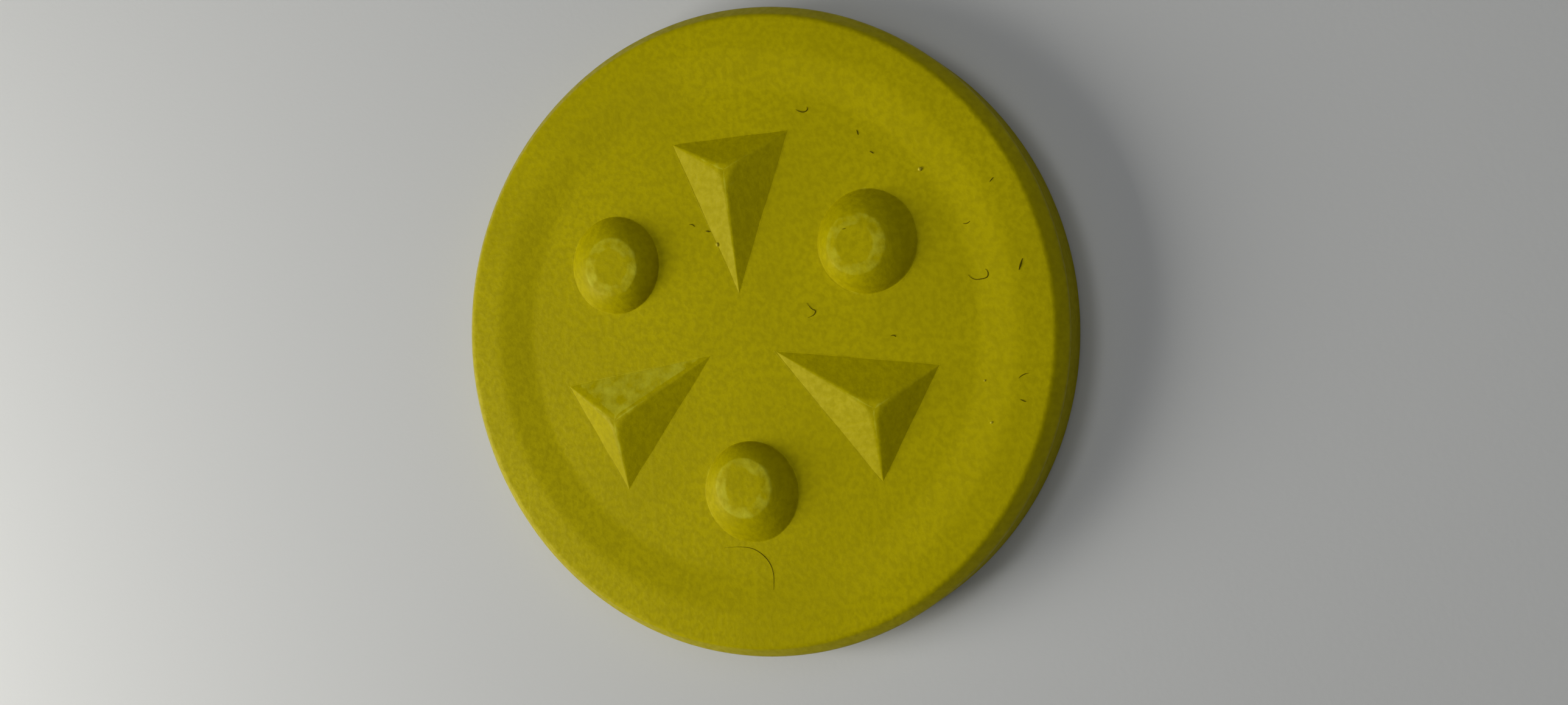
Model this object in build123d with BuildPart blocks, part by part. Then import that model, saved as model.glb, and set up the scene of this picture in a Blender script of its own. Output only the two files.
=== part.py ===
from build123d import *
from math import asin, cos, radians, sin, sqrt
import os

# A round table button that lies flat with its face up: a stepped base disc is
# pushed into a rim ring from below, and six studs are glued on its face. Three
# are flat-topped domes and three are blunt pyramids whose long tips point at
# the centre. +Z is up, the origin is the centre of the underside, and +Y runs
# through the first pyramid. All lengths are millimetres.

os.makedirs("parts", exist_ok=True)

# Rim ring
button_radius = 25.0
button_thickness = 5.5
shoulder_drop = 1.0
shoulder_width = 0.85
rim_width = 2.65
shoulder_round = 0.3
rim_round = 0.25
foot_chamfer = 0.3

# Dished face and the step that registers the base disc in the ring
field_radius = 18.65
field_depth = 0.55
step_radius = 22.5
step_height = 2.4
glue_gap = 0.05

# Studs: both kinds alternate round the face
stud_count = 3
first_pyramid_angle = 90.0
first_dome_angle = first_pyramid_angle - 180.0 / stud_count
peg_depth = 1.4

# Dome stud
dome_place = 12.2
dome_radius = 3.9
dome_height = 1.7
crown_radius = 2.2
crown_edge_drop = 0.12
crown_flat_radius = 1.5
crown_lean = 0.5
flank_half_turn = 16.0
flank_steps = 5
dome_peg_radius = 1.5

# Pyramid stud
pyramid_tip = 3.0
pyramid_back = 15.1
pyramid_half_width = 4.92
pyramid_peak = 12.45
pyramid_height = 1.5
top_share = 0.16
top_round = 0.3
pyramid_peg_radius = 0.8
pyramid_peg_places = (8.6, 12.6)

# Levels and radii that follow from the driving sizes
shoulder_height = button_thickness - shoulder_drop
rim_outer = button_radius - shoulder_width
rim_inner = rim_outer - rim_width
field_height = button_thickness - field_depth
socket_depth = peg_depth + glue_gap


def write_piece(piece, name):
    """Label a finished piece and write it as its own STEP file."""
    piece.label = name
    export_step(piece, f"parts/{name}.step")
    print(f"{name}: {piece.volume:.1f} mm3, valid {piece.is_valid}")


def flank_point(share):
    """Radius and height on a dome's flank, from the crown edge (0) to its foot (1).

    The flank is one arc that turns through twice flank_half_turn degrees, so it
    steepens on its way down.
    """
    rise = dome_height - crown_edge_drop
    run = dome_radius - crown_radius
    chord = sqrt(rise * rise + run * run)
    chord_slope = asin(rise / chord)
    half_turn = radians(flank_half_turn)
    arc_radius = chord / (2.0 * sin(half_turn))
    centre_radius = crown_radius - arc_radius * sin(chord_slope - half_turn)
    centre_height = rise - arc_radius * cos(chord_slope - half_turn)
    turn = chord_slope - half_turn + 2.0 * half_turn * share
    return centre_radius + arc_radius * sin(turn), centre_height + arc_radius * cos(turn)


# The base disc: a wide flange below, a boss above whose top is the dished face,
# and blind sockets for the studs' pegs.
with BuildPart() as base_disc:
    with BuildSketch():
        Circle(step_radius - glue_gap)
    extrude(amount=step_height)
    with BuildSketch(Plane.XY.offset(step_height)):
        Circle(field_radius - glue_gap)
    extrude(amount=field_height - step_height)
    with BuildSketch(Plane.XY.offset(field_height)):
        with PolarLocations(dome_place, stud_count, start_angle=first_dome_angle):
            Circle(dome_peg_radius + glue_gap)
        for peg_place in pyramid_peg_places:
            with PolarLocations(peg_place, stud_count, start_angle=first_pyramid_angle):
                Circle(pyramid_peg_radius + glue_gap)
    extrude(amount=-socket_depth, mode=Mode.SUBTRACT)

# The rim ring: a flat rim, a slanted shoulder that runs out to the wall, a cone
# that slopes down to the face, and a rebate underneath for the base disc.
with BuildPart() as rim_ring:
    with BuildSketch(Plane.XZ) as ring_profile:
        with BuildLine():
            Polyline(
                (step_radius, 0.0),
                (button_radius - foot_chamfer, 0.0),
                (button_radius, foot_chamfer),
                (button_radius, shoulder_height),
                (rim_outer, button_thickness),
                (rim_inner, button_thickness),
                (field_radius, field_height),
                (field_radius, step_height + glue_gap),
                (step_radius, step_height + glue_gap),
                close=True,
            )
        make_face()
        fillet(ring_profile.vertices().group_by(Axis.Y)[-1], rim_round)
        fillet(ring_profile.vertices().group_by(Axis.X)[-1].sort_by(Axis.Y)[-1], shoulder_round)
    revolve(axis=Axis.Z)


def make_dome_stud(name, angle):
    """A dome on a round peg. Its crown leans a little towards the centre."""
    face = Plane(origin=(0, 0, field_height)).rotated((0, 0, angle))
    with BuildPart() as dome_stud:
        levels = [flank_point(1.0 - step / flank_steps) for step in range(flank_steps + 1)]
        for rings in (levels, [levels[-1], (crown_flat_radius, dome_height)]):
            for radius, height in rings:
                lean = crown_lean * height / dome_height
                with BuildSketch(face.offset(height)):
                    with Locations((dome_place - lean, 0)):
                        Circle(radius)
            loft(ruled=len(rings) == 2)
        with BuildSketch(face):
            with Locations((dome_place, 0)):
                Circle(dome_peg_radius)
        extrude(amount=-peg_depth)
    write_piece(dome_stud.part, name)


def make_pyramid_stud(name, angle):
    """A blunt three-sided pyramid on two pegs, which stop it from turning."""
    face = Plane(origin=(0, 0, field_height)).rotated((0, 0, angle))
    corners = [
        (pyramid_tip, 0.0),
        (pyramid_back, -pyramid_half_width),
        (pyramid_back, pyramid_half_width),
    ]
    top_corners = [
        (pyramid_peak + (x - pyramid_peak) * top_share, y * top_share) for x, y in corners
    ]
    with BuildPart() as pyramid_stud:
        for level, outline in ((0.0, corners), (pyramid_height, top_corners)):
            with BuildSketch(face.offset(level)):
                with BuildLine():
                    Polyline(*outline, close=True)
                make_face()
        loft(ruled=True)
        fillet(pyramid_stud.faces().sort_by(Axis.Z)[-1].edges(), top_round)
        with BuildSketch(face):
            with Locations(*[(place, 0) for place in pyramid_peg_places]):
                Circle(pyramid_peg_radius)
        extrude(amount=-peg_depth)
    write_piece(pyramid_stud.part, name)


write_piece(base_disc.part, "base_disc")
write_piece(rim_ring.part, "rim_ring")
for number in range(stud_count):
    turn = number * 360.0 / stud_count
    make_dome_stud(f"dome_stud_{number + 1}", first_dome_angle + turn)
    make_pyramid_stud(f"pyramid_stud_{number + 1}", first_pyramid_angle + turn)
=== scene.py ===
"""Looks of a round table button.

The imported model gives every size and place. A turned rim ring, a dished face,
three dome studs and three blunt pyramid studs get finished meshes under one
satin spray coat, with the lint and dust nibs that dried into it. Objects are
in metres. Sizes written here are millimetres until they meet a mesh.
"""

import logging
import math
from dataclasses import dataclass
from enum import Enum
from typing import Sequence

import bpy
from mathutils import Euler, Matrix, Vector, noise


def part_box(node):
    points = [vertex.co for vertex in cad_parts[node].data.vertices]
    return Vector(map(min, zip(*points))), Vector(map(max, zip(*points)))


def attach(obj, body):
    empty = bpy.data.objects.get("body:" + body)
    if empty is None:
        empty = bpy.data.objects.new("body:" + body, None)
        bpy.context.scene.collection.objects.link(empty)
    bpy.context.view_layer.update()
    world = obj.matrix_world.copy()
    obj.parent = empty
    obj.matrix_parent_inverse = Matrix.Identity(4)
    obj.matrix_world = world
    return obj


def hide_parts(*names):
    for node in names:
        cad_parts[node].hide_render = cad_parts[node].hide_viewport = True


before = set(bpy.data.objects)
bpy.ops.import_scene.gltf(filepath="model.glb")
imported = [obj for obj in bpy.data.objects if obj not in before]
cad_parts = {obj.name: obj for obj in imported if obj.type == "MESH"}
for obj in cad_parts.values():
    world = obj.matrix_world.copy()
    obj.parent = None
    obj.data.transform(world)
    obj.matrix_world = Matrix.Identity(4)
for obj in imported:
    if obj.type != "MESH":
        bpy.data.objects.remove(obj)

MM = 0.001
ROOT = "root"
STUD_COUNT = 3
STUD_TURN = math.tau / STUD_COUNT
# A rounding takes at most this share of a side, and keeps this much rub at its feet.
SIDE_SHARE, FOOT_RUB = 0.48, 0.95
# Point attribute for rubbed wear, and on one pyramid face for painted sheen.
RUB_AND_SHEEN = "rub"
# A rub below zero marks coat that dried rough, down to this for the roughest.
DRY = -1.0
FACE_WANDER, FACE_WAVE = 0.02, 5.0
FIELD_RADIUS = 18.65
FIELD_GAP = 0.02
# A stud's coat starts this far under the face, and its bead of coat this far.
BURIED, BEAD_DROP = 0.12, 0.02
# This pyramid has one face painted paler, as painted sheen.
SHEEN_PYRAMID = 2
FIRST_PYRAMID_ANGLE = math.pi / 2

log = logging.getLogger("button")


class Slot(Enum):
    """The record's material slots."""

    DISC = "sprayed_disc"
    RING = "sprayed_ring"
    DOME = "sprayed_dome"
    PYRAMID = "sprayed_pyramid"


# ---------------------------------------------------------------- small tools


def linear(code: str) -> tuple[float, float, float, float]:
    """Turn an sRGB hex colour into linear light.

    Args:
        code: The colour as "#rrggbb".

    Returns:
        Linear red, green and blue, with an alpha of one.
    """
    channels = [int(code[at : at + 2], 16) / 255 for at in (1, 3, 5)]
    low, knee = 12.92, 0.04045
    red, green, blue = (
        c / low if c <= knee else ((c + 0.055) / 1.055) ** 2.4 for c in channels
    )
    return red, green, blue, 1.0


def per_metre(grain_mm: float) -> float:
    """Texture scale, in repeats per metre, for a pattern with grains of this size."""
    return 1.0 / (grain_mm * MM)


def add_node(
    tree: bpy.types.NodeTree,
    kind: str,
    settings: dict[str, object] | None = None,
    inputs: dict[str | int, object] | None = None,
) -> bpy.types.Node:
    """Add one shader node, set it up and wire what feeds it.

    Args:
        tree: The material's node tree.
        kind: The node's type without its "ShaderNode" prefix.
        settings: Node properties by name.
        inputs: Socket values by name or number. An output socket is linked,
            and anything else becomes the socket's own value.

    Returns:
        The new node.
    """
    made = tree.nodes.new(f"ShaderNode{kind}")
    for name, value in (settings or {}).items():
        setattr(made, name, value)
    for key, value in (inputs or {}).items():
        if isinstance(value, bpy.types.NodeSocket):
            tree.links.new(value, made.inputs[key])
        else:
            made.inputs[key].default_value = value
    return made


@dataclass(frozen=True)
class Corner:
    """A corner of a profile.

    Args:
        out: Distance from the profile's axis, or share of an outline.
        up: Height, in millimetres.
        soft: How far back along each side the rounding starts.
        rub: How rubbed the coat is here, from 0 to 1, or DRY.
    """

    out: float
    up: float
    soft: float = 0.0
    rub: float = 0.0


def bend(start: Vector, corner: Vector, end: Vector, share: float) -> Vector:
    """Point at this share of the curve that rounds a corner between two points."""
    rest = 1.0 - share
    return rest * rest * start + 2.0 * rest * share * corner + share * share * end


def soften(corners: Sequence[Corner], closed: bool, steps: int, span: float) -> list[Vector]:
    """Round a profile's corners and divide its long sides.

    Args:
        corners: The profile, in order.
        closed: Whether the last corner joins the first.
        steps: Points in each rounding, less one.
        span: The longest straight step left undivided.

    Returns:
        Points as (out, up, rub).
    """
    spots = [Vector((c.out, c.up, c.rub)) for c in corners]
    count = len(corners)
    rounded: list[Vector] = []
    for at, corner in enumerate(corners):
        here = spots[at]
        if corner.soft <= 0.0 or (not closed and at in (0, count - 1)):
            rounded.append(here)
            continue
        sides = []
        for other in (spots[at - 1], spots[(at + 1) % count]):
            away = Vector((other.x - here.x, other.y - here.y, 0.0))
            foot = here + away.normalized() * min(corner.soft, SIDE_SHARE * away.length)
            foot.z = FOOT_RUB * here.z
            sides.append(foot)
        rounded += [bend(sides[0], here, sides[1], k / steps) for k in range(steps + 1)]
    ends = rounded[1:] + (rounded[:1] if closed else [])
    points: list[Vector] = []
    for start, end in zip(rounded, ends):
        flat = Vector((end.x - start.x, end.y - start.y))
        pieces = max(1, math.ceil(flat.length / span))
        points += [start.lerp(end, k / pieces) for k in range(pieces)]
    return points if closed else points + [rounded[-1]]


def skin(
    name: str,
    rings: Sequence[Sequence[Vector]],
    rubs_and_sheen: Sequence[Sequence[float]],
    closed: bool = False,
) -> bpy.types.Object:
    """Skin a stack of rings with quads and close its two ends.

    Args:
        name: Name of the new object.
        rings: Rings of equal count, in metres. Where the stack is open, its
            first and last ring are shut by a fan to their middle.
        rubs_and_sheen: How rubbed each point is, with the painted sheen of one pyramid face.
        closed: Whether the last ring joins the first.

    Returns:
        The new mesh object, smooth shaded, with the rub on its points.
    """
    around = len(rings[0])
    points = [point for ring in rings for point in ring]
    rub = [value for ring in rubs_and_sheen for value in ring]
    faces: list[tuple[int, ...]] = []
    for low in range(len(rings) if closed else len(rings) - 1):
        high = (low + 1) % len(rings)
        for k in range(around):
            after = (k + 1) % around
            below, above = low * around, high * around
            faces.append((below + k, below + after, above + after, above + k))
    if not closed:
        for at, flip in ((0, True), (len(rings) - 1, False)):
            middle = len(points)
            points.append(sum(rings[at], Vector()) / around)
            rub.append(rubs_and_sheen[at][0])
            for k in range(around):
                pair = (at * around + k, at * around + (k + 1) % around)
                faces.append((*(reversed(pair) if flip else pair), middle))
    mesh = bpy.data.meshes.new(name)
    mesh.from_pydata(points, [], faces)
    mesh.attributes.new(RUB_AND_SHEEN, "FLOAT", "POINT").data.foreach_set("value", rub)
    mesh.shade_smooth()
    mesh.update()
    made = bpy.data.objects.new(name, mesh)
    bpy.context.collection.objects.link(made)
    return made


def settle(piece: bpy.types.Object, depth: float, wave: float, above: float = 0.0) -> None:
    """Let a coated surface wander a little, always inwards.

    Args:
        piece: The mesh object.
        depth: The most that a point moves, in millimetres.
        wave: Size of the waves, in millimetres.
        above: Points no higher than this, in millimetres, stay where they are.
    """
    mesh = piece.data
    normals = [Vector(v.vector) for v in mesh.vertex_normals]
    for vertex, normal in zip(mesh.vertices, normals):
        if vertex.co.z > above * MM:
            lift = noise.noise(vertex.co / (wave * MM)) - 1.0
            vertex.co += normal * (0.5 * lift * depth * MM)
    mesh.update()


def place(piece: bpy.types.Object, node: str, finish: bpy.types.Material) -> None:
    """Dress a piece and let it stand for a CAD node.

    Args:
        piece: The finished mesh object.
        node: The CAD node that it stands for.
        finish: Its material.
    """
    piece.data.materials.append(finish)
    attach(piece, ROOT)
    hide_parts(node)
    log.info("%s stands for %s: %d faces", piece.name, node, len(piece.data.polygons))


# ------------------------------------------------------------------- finishes


@dataclass(frozen=True)
class SatinEnamel:
    """Solvent enamel, sprayed from a can in one satin coat over plastic.

    The spray doesn't level out, so it dries with an orange-peel skin that
    breaks up the highlight. Pigment is a little uneven, and where fingers rub
    an edge the coat is thin, chalky and paler. The same pale colour is also
    painted on one pyramid face as a painted sheen. The steep wall catches a
    drier spray, so it is rougher and mirrors less of the table.
    """

    name: str
    body: str = "#b8ab00"
    deep: str = "#a39700"
    # Pale colour for rubbed edges, also used as painted sheen on one pyramid face.
    pale_wear_and_sheen: str = "#d4d23c"
    sheen: str = "#fff060"
    gloss: float = 0.12
    roughness: float = 0.46
    roughness_swing: float = 0.07
    ior: float = 1.5
    peel_mm: float = 0.5
    peel_depth_mm: float = 0.035
    peel_band: tuple[float, float] = (0.3, 0.7)
    tooth_mm: float = 0.2
    tooth_depth_mm: float = 0.003
    mottle: float = 0.6
    mottle_band: tuple[float, float] = (0.4, 0.62)
    cloud_mm: float = 7.0
    clouding: float = 0.4
    cloud_band: tuple[float, float] = (0.35, 0.65)
    rub_mm: float = 1.1
    rub_start: float = 1.36
    rub_full: float = 1.72
    rub_most: float = 0.57
    dry_rise: float = 0.45

    def material(self) -> bpy.types.Material:
        """Build the node material."""
        made = bpy.data.materials.new(self.name)
        made.use_nodes = True
        tree = made.node_tree
        shader = tree.nodes["Principled BSDF"]
        shader.inputs["IOR"].default_value = self.ior
        shader.inputs["Specular IOR Level"].default_value = self.gloss
        shader.inputs["Specular Tint"].default_value = linear(self.sheen)
        where = add_node(tree, "TexCoord").outputs["Object"]

        def grain(size_mm: float, detail: float) -> bpy.types.NodeSocket:
            """Noise with grains of this size, in the object's own space."""
            settings = {"Scale": per_metre(size_mm), "Detail": detail, "Vector": where}
            return add_node(tree, "TexNoise", None, settings).outputs["Fac"]

        def remap(
            value: bpy.types.NodeSocket, band: tuple[float, float], to: tuple[float, float]
        ) -> bpy.types.NodeSocket:
            """Stretch a band of a value to a new range, and clamp it."""
            limits = {"From Min": band[0], "From Max": band[1], "To Min": to[0], "To Max": to[1]}
            return add_node(tree, "MapRange", None, {"Value": value, **limits}).outputs["Result"]

        def plus(first: bpy.types.NodeSocket, second: bpy.types.NodeSocket) -> bpy.types.NodeSocket:
            """Sum of two values."""
            return add_node(tree, "Math", {"operation": "ADD"}, {0: first, 1: second}).outputs[0]

        def blend(share: bpy.types.NodeSocket, first: object, second: object) -> bpy.types.NodeSocket:
            """Mix two colours. The mix node keeps its colour sockets at 6 and 7."""
            sides = {0: share, 6: first, 7: second}
            return add_node(tree, "Mix", {"data_type": "RGBA"}, sides).outputs[2]

        peel = grain(self.peel_mm, 2.0)
        tooth = grain(self.tooth_mm, 1.0)
        cloud = remap(grain(self.cloud_mm, 3.0), self.cloud_band, (0.0, self.clouding))
        speckle = remap(peel, self.mottle_band, (0.0, self.mottle))
        clouded = blend(cloud, linear(self.body), linear(self.deep))
        pigment = blend(speckle, clouded, linear(self.deep))
        # The rub mask mixes in the pale colour: rubbed wear, and painted sheen on one pyramid face.
        rub = add_node(tree, "Attribute", {"attribute_name": RUB_AND_SHEEN}).outputs["Fac"]
        rub_band = (self.rub_start, self.rub_full)
        wear_and_sheen = remap(plus(rub, grain(self.rub_mm, 4.0)), rub_band, (0.0, self.rub_most))
        tree.links.new(blend(wear_and_sheen, pigment, linear(self.pale_wear_and_sheen)), shader.inputs["Base Color"])
        swing = (self.roughness - self.roughness_swing, self.roughness + self.roughness_swing)
        satin = remap(peel, self.peel_band, swing)
        dry = remap(rub, (DRY, 0.0), (self.dry_rise, 0.0))
        tree.links.new(plus(satin, dry), shader.inputs["Roughness"])
        fine = add_node(tree, "Bump", None, {"Distance": self.tooth_depth_mm * MM, "Height": tooth})
        coat = {"Distance": self.peel_depth_mm * MM, "Height": peel, "Normal": fine.outputs["Normal"]}
        skin_bump = add_node(tree, "Bump", None, coat)
        tree.links.new(skin_bump.outputs["Normal"], shader.inputs["Normal"])
        return made


@dataclass(frozen=True)
class Paper:
    """Uncoated office paper: matt, almost white, with a faint fibre tooth."""

    name: str = "uncoated_paper"
    sheet: str = "#cdcecc"
    roughness: float = 0.9
    tooth_mm: float = 0.4
    tooth_depth_mm: float = 0.01

    def material(self) -> bpy.types.Material:
        """Build the node material."""
        made = bpy.data.materials.new(self.name)
        made.use_nodes = True
        tree = made.node_tree
        shader = tree.nodes["Principled BSDF"]
        shader.inputs["Base Color"].default_value = linear(self.sheet)
        shader.inputs["Roughness"].default_value = self.roughness
        where = add_node(tree, "TexCoord").outputs["Object"]
        fibres = {"Scale": per_metre(self.tooth_mm), "Detail": 3.0, "Vector": where}
        tooth = add_node(tree, "TexNoise", None, fibres).outputs["Fac"]
        relief = {"Distance": self.tooth_depth_mm * MM, "Height": tooth}
        bump = add_node(tree, "Bump", None, relief)
        tree.links.new(bump.outputs["Normal"], shader.inputs["Normal"])
        return made


# --------------------------------------------------------------------- pieces


def turned(name: str, profile: Sequence[Vector], around: int, closed: bool) -> bpy.types.Object:
    """Turn a profile round the button's axis.

    Args:
        name: Name of the new object.
        profile: Points as (out, up, rub), in millimetres.
        around: Points in each ring.
        closed: Whether the profile is a closed loop clear of the axis.

    Returns:
        The new mesh object.
    """
    turns = [math.tau * k / around for k in range(around)]
    rings = [
        [Vector((p.x * math.cos(a), p.x * math.sin(a), p.y)) * MM for a in turns] for p in profile
    ]
    return skin(name, rings, [[p.z] * around for p in profile], closed)


@dataclass
class RimRing:
    """The outer ring: wall, slanted shoulder, flat rim and the cone inside it.

    Its coat runs on over the disc as a thin film and hides their joint.
    """

    radius: float
    height: float
    field_radius: float
    field_height: float
    shoulder_drop: float = 1.0
    shoulder_width: float = 0.85
    rim_width: float = 2.65
    foot: float = 0.3
    rebate_radius: float = 22.5
    rebate_height: float = 2.45
    flow: float = 0.65
    overlap: float = 2.05
    feather: float = 0.003
    film: float = 0.09
    toe_run: float = 0.2
    toe_drop: float = 0.05
    rub_drop: float = 0.36
    rub_run: float = 0.45
    around: int = 288

    def build(self) -> bpy.types.Object:
        """Turn the ring's profile, with the coat's soft corners."""
        rim_outer = self.radius - self.shoulder_width
        rim_inner = rim_outer - self.rim_width
        shoulder = self.height - self.shoulder_drop
        fall = self.shoulder_drop / self.shoulder_width
        toe = self.field_radius - self.overlap
        corners = [
            Corner(self.rebate_radius, 0.0, 0.04),
            Corner(self.radius - self.foot, 0.0, 0.12),
            Corner(self.radius, self.foot, 0.15, DRY),
            Corner(self.radius, shoulder - self.rub_drop, 0.0, DRY),
            Corner(self.radius, shoulder, 0.3, 0.75),
            Corner(self.radius - self.rub_run, shoulder + fall * self.rub_run),
            Corner(rim_outer, self.height, 0.28, 0.5),
            Corner(rim_inner, self.height, 0.5),
            Corner(self.field_radius, self.field_height + self.feather, 0.5),
            Corner(self.field_radius - self.flow, self.field_height + self.feather),
            Corner(toe, self.field_height - self.feather),
            Corner(toe - self.toe_run, self.field_height - self.toe_drop),
            Corner(self.field_radius, self.field_height - self.film),
            Corner(self.field_radius, self.rebate_height, 0.05),
            Corner(self.rebate_radius, self.rebate_height, 0.05),
        ]
        profile = soften(corners, True, 6, 0.6)
        made = turned("rim_ring_coated", profile, self.around, True)
        settle(made, FACE_WANDER, FACE_WAVE, self.foot)
        return made


@dataclass
class BaseDisc:
    """The stepped disc: its top is the dished face that carries the studs."""

    field_radius: float
    field_height: float
    flange_radius: float
    step_height: float = 2.4
    around: int = 192

    def build(self) -> bpy.types.Object:
        """Turn the disc's profile from the underside's middle to the face's."""
        corners = [
            Corner(0.3, 0.0),
            Corner(self.flange_radius, 0.0, 0.06),
            Corner(self.flange_radius, self.step_height, 0.04),
            Corner(self.field_radius, self.step_height),
            Corner(self.field_radius, self.field_height, 0.03),
            Corner(0.3, self.field_height),
        ]
        profile = soften(corners, False, 3, 0.6)
        made = turned("base_disc_coated", profile, self.around, False)
        settle(made, FACE_WANDER, FACE_WAVE, self.step_height)
        return made


@dataclass
class DomeStud:
    """A flat-topped dome, glued down, with a bead of coat round its foot."""

    number: int
    centre: Vector
    radius: float
    floor: float
    height: float
    crown_radius: float = 2.2
    crown_drop: float = 0.12
    crown_flat: float = 1.5
    crown_ring: float = 0.5
    lean: float = 0.5
    half_turn: float = math.radians(16.0)
    flank_steps: int = 12
    bead: float = 0.2
    rub_reach: float = 0.9
    wander: float = 0.06
    wave: float = 2.2
    around: int = 96

    def flank(self) -> list[Corner]:
        """Corners down the flank: one arc, steeper towards the foot."""
        rise = self.height - self.crown_drop
        run = self.radius - self.crown_radius
        chord = math.hypot(run, rise)
        slope = math.asin(rise / chord)
        arc = chord / (2.0 * math.sin(self.half_turn))
        middle_out = self.crown_radius - arc * math.sin(slope - self.half_turn)
        middle_up = rise - arc * math.cos(slope - self.half_turn)
        turns = [
            slope + self.half_turn - 2.0 * self.half_turn * k / self.flank_steps
            for k in range(self.flank_steps + 1)
        ]
        corners = []
        for turn in turns:
            out = middle_out + arc * math.sin(turn)
            rub = max(0.0, 1.0 - (out - self.crown_radius) / self.rub_reach)
            corners.append(Corner(out, middle_up + arc * math.cos(turn), rub=rub))
        return corners

    def build(self) -> bpy.types.Object:
        """Turn the dome about its own axis and lean its crown to the middle."""
        flank = self.flank()
        foot, edge = flank[0], flank[-1]
        corners = [
            Corner(self.radius + self.bead, -BURIED),
            Corner(self.radius + self.bead, -BEAD_DROP),
            Corner(foot.out, foot.up, 0.8 * self.bead, 0.8),
            *flank[1:-1],
            Corner(edge.out, edge.up, 0.3, 1.0),
            Corner(self.crown_flat, self.height, 0.0, 0.95),
            Corner(self.crown_flat - self.crown_ring, self.height, 0.0, 0.4),
            Corner(0.15, self.height),
        ]
        profile = soften(corners, False, 6, 0.25)
        inward = -self.centre.normalized()
        turns = [math.tau * k / self.around for k in range(self.around)]
        rings = []
        for point in profile:
            shift = inward * (self.lean * max(point.y, 0.0) / self.height)
            middle = Vector((self.centre.x + shift.x, self.centre.y + shift.y, self.floor + point.y))
            spokes = [Vector((math.cos(a), math.sin(a), 0.0)) for a in turns]
            rings.append([(middle + spoke * point.x) * MM for spoke in spokes])
        made = skin(f"dome_stud_{self.number}_coated", rings, [[p.z] * self.around for p in profile])
        settle(made, self.wander, self.wave, self.floor)
        return made


@dataclass
class PyramidStud:
    """A blunt three-sided pyramid whose ridges soften towards its top."""

    number: int
    angle: float
    tip: float
    back: float
    half_width: float
    floor: float
    height: float
    peak: float = 12.45
    top_share: float = 0.16
    bead: float = 1.02
    sharp_ridge: float = 0.1
    soft_ridge: float = 0.75
    corner_share: float = 0.42
    arc_rub: float = 0.4
    foot_fade: float = 0.55
    top_fade: float = 1.1
    corner_steps: int = 6
    side_steps: int = 14
    # One side can be painted paler: a painted sheen, where that face mirrors a light.
    side_sheen: float = 1.0
    wander: float = 0.06
    wave: float = 2.4
    sheen_side: int | None = None

    def outline(self, share: float, soft: float) -> list[tuple[Vector, float, float]]:
        """One contour of the pyramid.

        Args:
            share: The contour's size, as a share of the base.
            soft: How far back its corners are rounded, in millimetres.

        Returns:
            Points in the stud's own plane, how near a ridge each one is, and
            how much painted sheen its side carries.
        """
        base = [
            Vector((self.tip, 0.0)),
            Vector((self.back, -self.half_width)),
            Vector((self.back, self.half_width)),
        ]
        middle = Vector((self.peak, 0.0))
        corners = [middle + (corner - middle) * share for corner in base]
        points: list[tuple[Vector, float, float]] = []
        arcs = []
        for at, corner in enumerate(corners):
            feet = []
            for other in (corners[at - 1], corners[(at + 1) % 3]):
                away = other - corner
                feet.append(corner + away.normalized() * min(soft, self.corner_share * away.length))
            arcs.append((feet[0], corner, feet[1]))
        for at, (start, corner, end) in enumerate(arcs):
            for k in range(self.corner_steps + 1):
                near = 1.0 - abs(2.0 * k / self.corner_steps - 1.0)
                spot = bend(start, corner, end, k / self.corner_steps)
                points.append((spot, self.arc_rub + (1.0 - self.arc_rub) * near, 0.0))
            after = arcs[(at + 1) % 3][0]
            # The chosen side gets painted sheen in the rub mask, not wear.
            painted_sheen = self.side_sheen if at == self.sheen_side else 0.0
            for k in range(1, self.side_steps):
                points.append((end.lerp(after, k / self.side_steps), 0.0, painted_sheen))
        return points

    def build(self) -> bpy.types.Object:
        """Stack the contours from the foot to the blunt top."""
        corners = [
            Corner(self.bead, -BURIED),
            Corner(self.bead, -BEAD_DROP),
            Corner(1.0, 0.0, 0.015),
            Corner(self.top_share, self.height, 0.22, 0.8),
            Corner(0.012, self.height, 0.0, 0.1),
        ]
        profile = soften(corners, False, 8, 0.08)
        spin = Matrix.Rotation(self.angle, 3, "Z")
        rings, rubs_and_sheen = [], []
        for point in profile:
            rise = max(point.y, 0.0) / self.height
            soft = self.sharp_ridge + (self.soft_ridge - self.sharp_ridge) * rise
            contour = self.outline(point.x, soft)
            rings.append([spin @ Vector((p.x, p.y, self.floor + point.y)) * MM for p, _, _ in contour])
            fade = self.foot_fade + (self.top_fade - self.foot_fade) * rise
            # Rub is the largest of profile wear, ridge wear and the side's painted sheen.
            rubs_and_sheen.append([max(point.z, painted_sheen, near * fade) for _, near, painted_sheen in contour])
        made = skin(f"pyramid_stud_{self.number}_coated", rings, rubs_and_sheen)
        settle(made, self.wander, self.wave, self.floor)
        return made


@dataclass(frozen=True)
class Strand:
    """A fibre or a nib of dust that dried into the coat.

    Args:
        route: Points of its centre line, in millimetres from the axis.
        thick: Its diameter at the middle.
        lift: How high its centre line runs over the surface under it.
    """

    route: tuple[tuple[float, float], ...]
    thick: float = 0.065
    lift: float = 0.03


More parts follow.
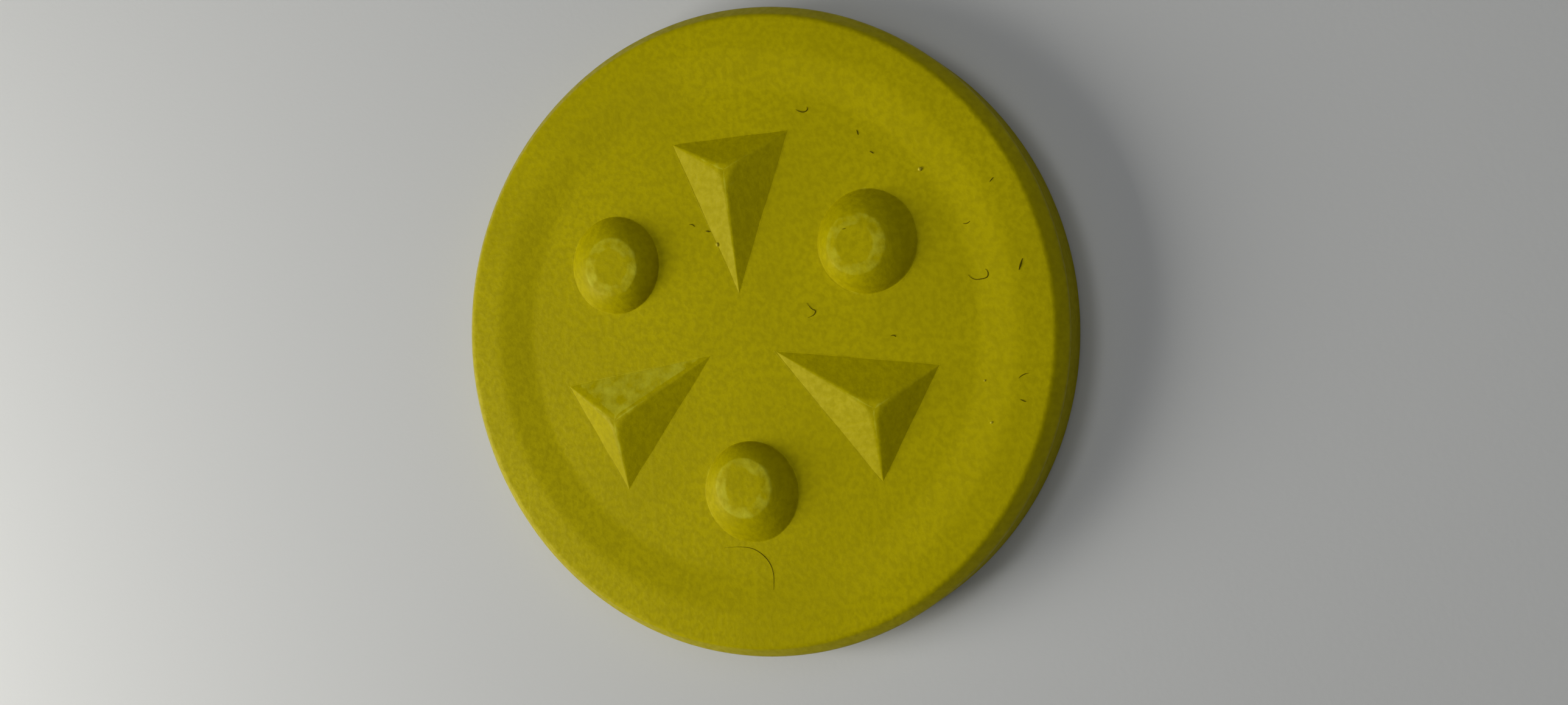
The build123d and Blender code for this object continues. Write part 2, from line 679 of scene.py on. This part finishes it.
@dataclass
class CoatLint:
    """Fibres and dust nibs caught in the wet coat, joined in one mesh."""

    name: str
    strands: Sequence[Strand]
    under: Sequence[bpy.types.Object]
    steps: int = 8
    around: int = 8
    taper: float = 0.25

    def surface(self, spot: tuple[float, float]) -> float:
        """Height of the coat at this place, in millimetres."""
        above = Vector((spot[0] * MM, spot[1] * MM, 1.0))
        hits = [piece.ray_cast(above, Vector((0.0, 0.0, -1.0))) for piece in self.under]
        return max(place_hit.z for found, place_hit, _, _ in hits if found) / MM

    def line(self, route: Sequence[tuple[float, float]]) -> list[tuple[float, float]]:
        """Round a route into one smooth line through its inner points' middles."""
        spots = [Vector(point) for point in route]
        if len(spots) < 3:
            return [tuple(spots[0].lerp(spots[-1], k / self.steps)) for k in range(self.steps + 1)]
        joints = [spots[0], *[(a + b) / 2 for a, b in zip(spots[1:-2], spots[2:-1])], spots[-1]]
        smooth = [joints[0]]
        for start, corner, end in zip(joints, spots[1:-1], joints[1:]):
            smooth += [bend(start, corner, end, k / self.steps) for k in range(1, self.steps + 1)]
        return [tuple(point) for point in smooth]

    def build(self) -> bpy.types.Object:
        """Sweep a small tapered tube along each strand, half sunk in the coat."""
        points: list[Vector] = []
        faces: list[tuple[int, ...]] = []
        for strand in self.strands:
            line = self.line(strand.route)
            spine = [Vector((x, y, self.surface((x, y)) + strand.lift)) for x, y in line]
            start = len(points)
            for at, middle in enumerate(spine):
                ahead = spine[min(at + 1, len(spine) - 1)] - spine[max(at - 1, 0)]
                side = ahead.cross(Vector((0.0, 0.0, 1.0))).normalized()
                over = side.cross(ahead).normalized()
                share = at / (len(spine) - 1)
                swell = self.taper + (1.0 - self.taper) * math.sin(math.pi * share)
                for k in range(self.around):
                    turn = math.tau * k / self.around
                    spoke = side * math.cos(turn) + over * math.sin(turn)
                    points.append((middle + spoke * (0.5 * strand.thick * swell)) * MM)
            for low in range(len(spine) - 1):
                first, after = start + low * self.around, start + (low + 1) * self.around
                for k in range(self.around):
                    last = (k + 1) % self.around
                    faces.append((first + k, after + k, after + last, first + last))
            end = len(points) - self.around
            faces.append(tuple(range(start, start + self.around)))
            faces.append(tuple(reversed(range(end, end + self.around))))
        mesh = bpy.data.meshes.new(self.name)
        mesh.from_pydata(points, [], faces)
        mesh.attributes.new(RUB_AND_SHEEN, "FLOAT", "POINT")
        mesh.shade_smooth()
        made = bpy.data.objects.new(self.name, mesh)
        bpy.context.collection.objects.link(made)
        return made


# Fibres are bent, and nibs are short and fat.
FIBRES = (
    Strand(((18.0, 3.0), (18.3, 2.6), (19.0, 2.6), (19.5, 2.7), (19.5, 3.2), (19.3, 3.3)), 0.07),
    Strand(((21.8, 3.0), (21.9, 3.3), (22.1, 3.8)), 0.11),
    Strand(((20.1, 9.4), (20.4, 9.7))),
    Strand(((17.9, 6.7), (18.2, 6.6), (18.4, 6.8))),
    Strand(((21.3, -6.1), (21.7, -6.3))),
    Strand(((21.3, -4.6), (21.6, -4.3), (22.0, -4.3)), 0.06),
    Strand(((-2.5, 8.1), (-2.1, 8.0)), 0.1),
    Strand(((-3.9, 8.7), (-3.6, 8.8), (-3.4, 8.5))),
    Strand(((5.5, 1.9), (5.8, 1.4), (6.2, 1.3), (6.0, 0.9), (5.5, 0.8)), 0.07),
    Strand(((5.6, 16.5), (6.0, 16.2), (6.6, 16.3), (6.5, 16.6)), 0.08),
    Strand(((9.2, 7.0), (9.6, 7.05)), 0.07, -0.015),
    Strand(((11.9, -1.0), (12.2, -0.9), (12.3, -1.1)), 0.08),
    Strand(((10.3, 14.4), (10.4, 14.0)), 0.08),
    Strand(((11.2, 12.7), (11.5, 12.5)), 0.08),
)
NIBS = (
    Strand(((14.8, 10.9), (15.1, 11.0)), 0.3, 0.07),
    Strand(((-1.6, 7.1), (-1.5, 6.8)), 0.26, 0.08),
    Strand(((18.7, -4.6), (18.8, -4.7)), 0.16),
    Strand(((19.0, -7.7), (19.2, -7.6)), 0.16),
)
HAIR = (Strand(((-2.6, -16.5), (-0.8, -16.3), (0.7, -17.0), (1.5, -18.3), (1.4, -19.7)), 0.05, 0.015),)


@dataclass
class Stage:
    """A sheet of paper, soft lights above and to one side, and the camera."""

    centre: Vector
    lens: float = 30.95
    azimuth: float = math.radians(88.95)
    elevation: float = math.radians(68.02)
    distance: float = 102.2
    aim_shift: tuple[float, float] = (3.4, -1.7)
    roll: float = math.radians(-92.65)
    sheet_size: float = 1600.0
    sheet_drop: float = 0.03

    def floor(self) -> bpy.types.Object:
        """Lay the sheet just under the button."""
        half = self.sheet_size / 2 * MM
        mesh = bpy.data.meshes.new("paper_sheet")
        low = -self.sheet_drop * MM
        corners = [(-half, -half, low), (half, -half, low), (half, half, low), (-half, half, low)]
        mesh.from_pydata(corners, [], [(0, 1, 2, 3)])
        sheet = bpy.data.objects.new("paper_sheet", mesh)
        bpy.context.collection.objects.link(sheet)
        mesh.materials.append(Paper().material())
        return sheet

    def lamp(
        self, name: str, spot: tuple[float, float, float], size: float, watts: float, tint: str
    ) -> bpy.types.Object:
        """Hang a square soft light that faces the button.

        Args:
            name: The light's name.
            spot: Where it hangs, in millimetres from the button.
            size: Length of its side, in millimetres.
            watts: Its power.
            tint: Its colour as sRGB hex.

        Returns:
            The new light object.
        """
        data = bpy.data.lights.new(name, "AREA")
        data.size = size * MM
        data.energy = watts
        data.color = linear(tint)[:3]
        made = bpy.data.objects.new(name, data)
        made.location = Vector(spot) * MM
        made.rotation_euler = (self.centre - made.location).to_track_quat("-Z", "Y").to_euler()
        bpy.context.collection.objects.link(made)
        return made

    def air(self, strength: float, tint: str) -> None:
        """Fill the room with even light."""
        world = bpy.data.worlds.new("studio_air")
        world.use_nodes = True
        sky = world.node_tree.nodes["Background"]
        sky.inputs["Color"].default_value = linear(tint)
        sky.inputs["Strength"].default_value = strength
        bpy.context.scene.world = world

    def camera(self) -> bpy.types.Object:
        """Stand the camera where it looks down on the button from one side."""
        back = Vector((
            math.sin(self.azimuth) * math.cos(self.elevation),
            -math.cos(self.azimuth) * math.cos(self.elevation),
            math.sin(self.elevation),
        ))
        data = bpy.data.cameras.new("view")
        data.lens = self.lens
        data.clip_start, data.clip_end = 0.005, 10.0
        made = bpy.data.objects.new("view", data)
        aim = self.centre + Vector((*self.aim_shift, 0.0)) * MM
        upright = (-back).to_track_quat("-Z", "Y").to_matrix()
        turned_by = Euler((0.0, 0.0, self.roll)).to_matrix()
        stand = Matrix.Translation(aim + back * self.distance * MM)
        made.matrix_world = stand @ (upright @ turned_by).to_4x4()
        bpy.context.collection.objects.link(made)
        bpy.context.scene.camera = made
        return made


def main() -> None:
    """Build every piece in order and report it."""
    logging.basicConfig(level=logging.INFO, format="%(name)s: %(message)s")
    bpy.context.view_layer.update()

    _, ring_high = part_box("rim_ring")
    _, disc_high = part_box("base_disc")
    pyramid_low, pyramid_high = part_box("pyramid_stud_1")
    floor = disc_high.z / MM

    ring = RimRing(ring_high.x / MM, ring_high.z / MM, FIELD_RADIUS, floor).build()
    place(ring, "rim_ring", SatinEnamel("satin_enamel_ring").material())
    disc = BaseDisc(FIELD_RADIUS - FIELD_GAP, floor, disc_high.x / MM).build()
    place(disc, "base_disc", SatinEnamel("satin_enamel_disc").material())

    dome_finish = SatinEnamel("satin_enamel_dome").material()
    pyramid_finish = SatinEnamel("satin_enamel_pyramid").material()
    domes: list[bpy.types.Object] = []
    pyramids: list[bpy.types.Object] = []
    for number in range(1, STUD_COUNT + 1):
        low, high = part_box(f"dome_stud_{number}")
        middle = (low + high) / 2 / MM
        centre = Vector((middle.x, middle.y))
        radius = (high.x - low.x) / 2 / MM
        dome = DomeStud(number, centre, radius, floor, high.z / MM - floor).build()
        place(dome, f"dome_stud_{number}", dome_finish)
        domes.append(dome)
        pyramid = PyramidStud(
            number,
            FIRST_PYRAMID_ANGLE + STUD_TURN * (number - 1),
            pyramid_low.y / MM,
            pyramid_high.y / MM,
            pyramid_high.x / MM,
            floor,
            pyramid_high.z / MM - floor,
            # One face of this pyramid is painted paler, as painted sheen.
            sheen_side=0 if number == SHEEN_PYRAMID else None,
        ).build()
        place(pyramid, f"pyramid_stud_{number}", pyramid_finish)
        pyramids.append(pyramid)

    coated = [ring, disc, *domes, *pyramids]
    # Fibres and the hair are coloured dark olive as painted shade: it stands for the shade line along
    # each fibre's ridge.
    fibre_painted_shade_finish = SatinEnamel("satin_enamel_lint_painted_shade", body="#6b6000", deep="#4d4400").material()
    # Nibs are coloured lighter as painted highlight: it stands for the light that each small bump
    # catches.
    nib_painted_highlight_finish = SatinEnamel("satin_enamel_nib_painted_highlight", body="#d8cc40", deep="#cabd30").material()
    caught = (
        ("coat_lint", FIBRES, fibre_painted_shade_finish),
        ("coat_nibs", NIBS, nib_painted_highlight_finish),
        ("coat_hair", HAIR, fibre_painted_shade_finish),
    )
    for name, strands, finish in caught:
        lint = CoatLint(name, strands, coated).build()
        lint.data.materials.append(finish)
        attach(lint, ROOT)
        log.info("%s: %d strands", name, len(strands))

    stage = Stage(Vector((0.0, 0.0, disc_high.z)))
    stage.floor()
    stage.lamp("window", (-222.0, -64.0, 130.0), 150.0, 0.56, "#fffdf8")
    stage.lamp("ceiling", (60.0, 40.0, 450.0), 500.0, 0.54, "#f8faff")
    stage.lamp("sheen", (-140.0, 60.0, 600.0), 140.0, 0.33, "#fbfcff")
    stage.air(0.02, "#f4f6fa")
    stage.camera()
    bpy.context.scene.view_settings.view_transform = "Standard"


if __name__ == "__main__":
    main()
